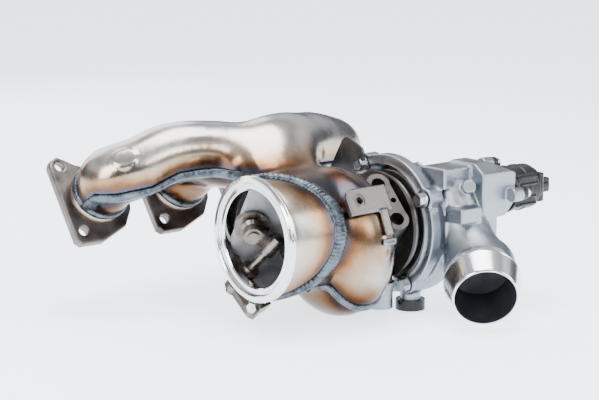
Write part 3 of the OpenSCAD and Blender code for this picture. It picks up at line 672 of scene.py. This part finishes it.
def comp_f(p):
    """The compressor housing with its valve block."""
    f = cyl_x(p, 0, SHAFT_Z, 61, 148.3, 158.5, 1.0)
    for a in BOLTS:
        t = math.radians(a)
        y, z = 57 * math.sin(t), SHAFT_Z - 57 * math.cos(t)
        f = smin(f, cyl_x(p, y, z, 9.0, 148.3, 163, 1.2), 2.5)
        f = np.maximum(f, -cyl_x(p, y, z, 3.15, 140, 161))
    rho = np.hypot(p[:, 1], p[:, 2] + 12)
    f = smin(f, np.hypot(rho - 37, p[:, 0] - 178) - 20.5, 5)
    radius = np.interp(p[:, 0], [150, 160, 196, 206], [56, 55, 40, 34])
    cone = np.hypot(p[:, 1], p[:, 2] - SHAFT_Z) - radius
    f = smin(f, np.maximum(np.maximum(cone, 150 - p[:, 0]), p[:, 0] - 206), 4)
    f = smin(f, cyl_x(p, 0, SHAFT_Z, 30, 196, 237.6, 1.2), 5)
    # web behind the bolt flange
    web = np.maximum(np.hypot(p[:, 1], p[:, 2] - SHAFT_Z) - 59.5, np.abs(p[:, 0] - 166) - 1.6)
    web = np.maximum(web, p[:, 1] + 20)
    f = smin(f, web, 1.4)
    for a0 in (248, 274, 300):
        t = math.radians(a0)
        d = V(0, math.cos(t), math.sin(t))
        q = np.abs((p - V(0, 0, SHAFT_Z)) @ V(0, -math.sin(t), math.cos(t))) - 1.5
        r = (p - V(0, 0, SHAFT_Z)) @ d
        g = np.maximum(np.maximum(q, np.maximum(38 - r, r - 58.5)), np.abs(p[:, 0] - 161) - 6)
        f = smin(f, g, 1.6)
    # duct that drops from the volute to the discharge stub
    duct = smin(seg(p, (182, -52, 22), (186, -61, -8), 16, 20),
                seg(p, (186, -61, -8), tuple(RIM + INTO * 44), 20, 30.0), 8)
    duct = smin(duct, cyl_any(p, tuple(RIM + INTO * 24), tuple(RIM + INTO * 50), 30.4, 2), 4)
    f = smin(f, duct, 5)
    # valve block with its bevelled corners
    b = box_f(p, (193, -75.5, 4), (233, -34, 51.3), 1.6)
    b = smax(b, (p[:, 0] - 212) * 0.42 + (p[:, 2] - 51) * 0.9, 1.2)
    b = smax(b, (p[:, 0] - 224) * 0.7 - (p[:, 2] - 8) * 0.7, 1.2)
    b = smax(b, -(p[:, 1] + 71) * 0.6 + (p[:, 2] - 46) * 0.8, 1.2)
    f = smin(f, b, 2.2)
    f = smin(f, box_f(p, (162, -60, 31), (200, -30, 49), 2.0), 3.5)
    f = smin(f, box_f(p, (163, -81, 4), (187, -60, 17), 1.2), 1.8)
    f = smin(f, cyl_any(p, (190, -58, 30), (174, -78, 36), 5.6, 1.0), 1.8)
    f = smin(f, box_f(p, (204, -70, -14), (217, -52, 6), 2.0), 3)
    for a in EARS:
        t = math.radians(a)
        y, z = VALVE_Y + 25 * math.sin(t), VALVE_Z - 25 * math.cos(t)
        f = smin(f, cyl_x(p, y, z, 6.2, 221, 232.9, 0.8), 1.6)
    f = smin(f, cyl_any(p, (157, -24, -76), (157, -24, -52), 9, 0.8), 2)
    f = smax(f, p[:, 0] - 237.8, 0.4)
    # openings: back plate seat, wheel, inlet, discharge and the valve's bore
    f = np.maximum(f, -cyl_x(p, 0, SHAFT_Z, 50.3, 140, 158))
    f = np.maximum(f, -cyl_x(p, 0, SHAFT_Z, 29, 150, 164))
    f = np.maximum(f, -cyl_x(p, 0, SHAFT_Z, 22, 160, 214))
    f = np.maximum(f, -cyl_x(p, 0, SHAFT_Z, 26, 205, 260))
    f = np.maximum(f, -cyl_x(p, 0, SHAFT_Z, 28.15, 212, 260))
    f = np.maximum(f, -cyl_any(p, tuple(RIM - INTO * 20), tuple(RIM + INTO * 48), 27.2))
    f = np.maximum(f, -cyl_x(p, VALVE_Y, VALVE_Z, 14, 207, 250))
    t = (p - RIM) @ INTO
    q = p - RIM - t[:, None] * INTO
    near = np.sqrt((q * q).sum(1)) < 38
    return np.maximum(f, np.where(near, 31.0 - t, -50))

v, f = nets(comp_f, (146, -128, -82), (242, 72, 58), 1.15, 3)
settle(to_object("compressor_casting", v, f), "alu", "compressor_housing")

stub = [(26.4, 0.0), (27.3, 0.0), (28.0, 0.7)]
for k in range(9):
    q = 1.6 + 2.35 * k
    r = 28.1 + 0.19 * q
    stub += [(r, q), (r + 0.1, q + 0.7), (r - 0.02, q + 0.9), (r + 0.1, q + 1.6)]
stub += [(32.6, 23.4), (33.0, 24.0), (33.0, 26.6), (32.2, 27.4), (31.4, 28.6), (31.3, 32.4),
         (29.0, 33.4), (27.6, 33.4), (26.4, 33.4)]
turned("stub_turning", stub, RIM, INTO, "turned", replaced="discharge_stub")
# painted shade: a near-black sleeve, closed by a cone at its far end, stands in for the shade down
# the discharge
BORE_SHADE_PROFILE = [(26.15, 1.2), (26.3, 1.2), (26.3, 44), (0, 47), (0, 46), (26.15, 43)]
turned("discharge_bore_shade", BORE_SHADE_PROFILE, RIM, INTO, "bore")

# ---------------------------------------------------------------- port flanges
OUTLINE = np.array([(-34, 38), (-30, 42), (-8, 42), (19, 31), (30, 16), (34, 0), (39, -12),
                    (39, -24), (33, -30), (-2, -30), (-10, -33), (-17, -38), (-24, -42),
                    (-31, -39), (-34, -34)], float)
STUD_HOLES = ((-24, -33), (-24, 30), (29, -20))

def outline_f(x, y, pts):
    """Signed distance to a closed outline."""
    d = np.full(len(x), 1e9)
    odd = np.zeros(len(x), bool)
    for a, b in zip(pts, np.roll(pts, -1, axis=0)):
        e, w = b - a, np.stack([x - a[0], y - a[1]], 1)
        t = np.clip((w @ e) / (e @ e), 0, 1)
        d = np.minimum(d, ((w - t[:, None] * e) ** 2).sum(1))
        up = (a[1] <= y) != (b[1] <= y)
        cross = a[0] + (y - a[1]) * (e[0] / (e[1] if e[1] else 1))
        odd ^= up & (x < cross)
    return np.where(odd, -1, 1) * np.sqrt(d)

def flange_f(p):
    """A flange in its own frame: its outline in XY, its head face at Z = 0."""
    e = 0.9
    rho = outline_f(p[:, 0], p[:, 1], OUTLINE) + e
    ax = np.abs(p[:, 2] + 4) - 4 + e
    f = np.minimum(np.maximum(rho, ax), 0) + np.hypot(np.maximum(rho, 0), np.maximum(ax, 0)) - e
    f = smax(f, -(np.hypot(p[:, 0], p[:, 1]) - 20), 0.6)
    for x, y in STUD_HOLES:
        f = smax(f, -(np.hypot(p[:, 0] - x, p[:, 1] - y) - 4.6), 0.7)
    return f

def neck_f(p):
    """The stepped collar of sheet that is welded to a flange."""
    r = np.hypot(p[:, 0], p[:, 1])
    outer = np.interp(p[:, 2], [-16, -13.5, -11, -8.2], [23.0, 23.3, 25.2, 26.0])
    f = np.maximum(r - outer, 20.05 - r)
    return np.maximum(f, np.abs(p[:, 2] + 12.0) - 3.9)

fv, ff = nets(flange_f, (-37, -45, -10), (42, 45, 2), 1.0, 3)
nv, nf = nets(neck_f, (-29, -29, -18), (29, 29, -6), 1.2, 3)
ca, sa = -math.sin(TILT), -math.cos(TILT)
TURN = np.array([[1, 0, 0], [0, ca, -sa], [0, sa, ca]])
for n in range(1, 5):
    flange = to_object("flange_%d" % n, fv @ TURN.T + port(n), ff)
    settle(flange, "flange", "port_flange_%d" % n)
    settle(to_object("neck_%d" % n, nv @ TURN.T + port(n), nf), "necks")

# ---------------------------------------------------------------- bracket and clip
def local(p, origin, deg):
    """Into a frame turned about X."""
    a = math.radians(deg)
    q = p - V(*origin)
    return np.stack([q[:, 0], q[:, 1] * math.cos(a) + q[:, 2] * math.sin(a),
                     -q[:, 1] * math.sin(a) + q[:, 2] * math.cos(a)], 1)

def bracket_f(p):
    """Plate with one hole and a lip, and the strap that hangs from it."""
    q = local(p, (60, -57.4, 20.8), 60)
    plate = box_f(q, (0, 0, 0), (44, 23, 2.5), 0.7)
    corner = np.hypot(np.maximum(6 - q[:, 0], 0), np.maximum(q[:, 1] - 17, 0)) - 6
    plate = np.where((q[:, 0] < 6) & (q[:, 1] > 17), np.maximum(plate, corner), plate)
    lip = box_f(q, (0.1, 0.2, -3.2), (2.6, 16, 1.6), 0.7)
    f = smin(plate, lip, 1.2)
    f = smin(f, cyl_any(q, (12, 12, 1.0), (12, 12, 3.0), 5.0, 0.5), 0.8)
    f = np.maximum(f, -cyl_any(q, (12, 12, -5), (12, 12, 6), 3.25))
    r = local(p, (90, -57.4, 21.2), -23.6)
    strap = box_f(r, (0, -2.5, -21), (8, 0, 1), 0.7)
    return smin(f, strap, 2.0)

def clip_f(p):
    """The folded clip at the end of the strap."""
    f = box_f(p, (87.1, -68.5, -5.9), (100.9, -65.3, -0.1), 1.5)
    return np.maximum(f, -box_f(p, (90, -70, -3.4), (98, -67.3, -2.0), 0.4))

FINE = 0.7
for name, fn, lo, hi, node, look in (
        ("bracket", bracket_f, (58, -71, -2), (106, -43, 44), "support_bracket", "nickel"),
        ("clip", clip_f, (86, -70, -7), (102, -64, 1), "bracket_clip", "clip")):
    v, f = nets(fn, lo, hi, FINE, 3)
    settle(to_object(name, v, f), look, node)

# ---------------------------------------------------------------- diverter valve
def valve_f(p):
    """The valve's body with its ribs and ears."""
    f = cyl_x(p, VALVE_Y, VALVE_Z, 20, 233.2, 264.5, 1.2)
    f = smin(f, box_f(p, (236, -75.5, 9), (259, -37, 37), 1.5), 1.0)
    for z in (11.5, 17.5, 29, 35):
        f = smin(f, box_f(p, (238, -77.2, z - 0.8), (258, -60, z + 0.8), 0.4), 0.6)
    f = np.minimum(f, cyl_x(p, VALVE_Y, VALVE_Z, 21, 233.2, 238.5, 0.6))
    f = np.minimum(f, cyl_x(p, VALVE_Y, VALVE_Z, 20.8, 250.5, 253.0, 0.5))
    for a in EARS:
        t = math.radians(a)
        y, z = VALVE_Y + 25 * math.sin(t), VALVE_Z - 25 * math.cos(t)
        f = smin(f, cyl_x(p, y, z, 5.6, 233.2, 238.1, 0.6), 1.0)
        f = np.maximum(f, -cyl_x(p, y, z, 2.7, 230, 241))
        f = np.maximum(f, -cyl_x(p, y, z, 4.4, 238.2, 246))
    return np.maximum(f, -cyl_x(p, VALVE_Y, VALVE_Z, 14.6, 230, 262))

def cap_f(p):
    """The valve's cap with its connector inlet."""
    f = cyl_x(p, VALVE_Y, VALVE_Z, 17, 266.1, 270.0, 1.0)
    f = smin(f, box_f(p, (266.3, -71, 10), (273, -44, 36), 1.2), 0.8)
    f = smin(f, box_f(p, (270, -64, 16), (288, -48, 29), 1.6), 1.2)
    f = smin(f, box_f(p, (272, -67.5, 20), (284, -60, 25), 0.8), 0.8)
    f = smin(f, box_f(p, (270, -60, 28), (283, -52, 31.5), 0.8), 0.8)
    return np.maximum(f, -box_f(p, (276, -62, 18), (292, -50, 27), 0.8))

for name, fn, lo, hi, node in (
        ("valve_moulding", valve_f, (232, -87, 0), (267, -29, 55), "valve_body"),
        ("connector", cap_f, (265, -75, 4), (290, -37, 42), "valve_cap")):
    v, f = nets(fn, lo, hi, 0.8, 3)
    settle(to_object(name, v, f), "plastic", node)

# ---------------------------------------------------------------- stage, light, camera
floor_z = cad_box[0][2]
bpy.ops.mesh.primitive_plane_add(size=12, location=(0.09, 0.05, float(floor_z) - 0.0002))
floor = bpy.context.object
floor.name = "floor"
paper = mat("floor_paper", (0.88, 0.90, 0.935), 0.6, metal=0.0, vary=0.004, scale=3, rvary=0.03)
glow = paper.node_tree.nodes["Principled BSDF"].inputs
glow["Emission Color"].default_value = (0.83, 0.905, 1.0, 1)
glow["Emission Strength"].default_value = 2.3
dress(floor, paper)

world = bpy.data.worlds.new("studio")
bpy.context.scene.world = world
world.use_nodes = True
sky = world.node_tree
split = sky.nodes.new("ShaderNodeSeparateXYZ")
feed(sky, split.inputs[0], sky.nodes.new("ShaderNodeTexCoord").outputs["Generated"])
SKY = [(0.0, (0.30, 0.32, 0.36)), (0.10, (0.10, 0.11, 0.13)), (0.30, (0.24, 0.26, 0.30)),
       (0.42, (0.85, 0.88, 0.95)), (0.60, (1.0, 1.0, 1.0)), (0.72, (0.45, 0.47, 0.52)),
       (1.0, (1.0, 1.0, 1.0))]
feed(sky, sky.nodes["Background"].inputs["Color"], colours(sky, split.outputs["Z"], SKY))
sky.nodes["Background"].inputs["Strength"].default_value = 1.25

LOOK_AT = Vector((0.0902, 0.0477, 0.0154))

def area(name, loc, width, power, col=(1, 1, 1), height=None):
    """A soft box that faces the part."""
    d = bpy.data.lights.new(name, "AREA")
    d.energy = power
    d.color = col
    d.shape = "RECTANGLE"
    d.size = width
    d.size_y = height or width
    o = bpy.data.objects.new(name, d)
    o.location = loc
    o.rotation_euler = (LOOK_AT - Vector(loc)).to_track_quat("-Z", "Y").to_euler()
    bpy.context.scene.collection.objects.link(o)

area("top_box", (0.1, -0.05, 1.1), 0.8, 20)
area("left_box", (-1.15, -0.35, 0.5), 0.55, 15, (1.0, 0.985, 0.96), 0.8)
area("front_box", (-0.25, -1.5, 0.75), 0.7, 10, (0.97, 0.98, 1.0), 0.4)
area("right_box", (0.95, -0.9, 0.45), 0.4, 8, (0.95, 0.975, 1.0), 0.8)
area("back_box", (0.25, 1.3, 0.7), 1.2, 14)

cam_data = bpy.data.cameras.new("camera")
cam_data.sensor_width = 36
cam_data.lens = 109.9
cam_data.clip_start = 0.05
cam_data.clip_end = 50
cam = bpy.data.objects.new("camera", cam_data)
cam.location = (-0.8982, -1.1729, 0.3207)
cam.rotation_euler = (LOOK_AT - cam.location).to_track_quat("-Z", "Y").to_euler()
bpy.context.scene.collection.objects.link(cam)
bpy.context.scene.camera = cam
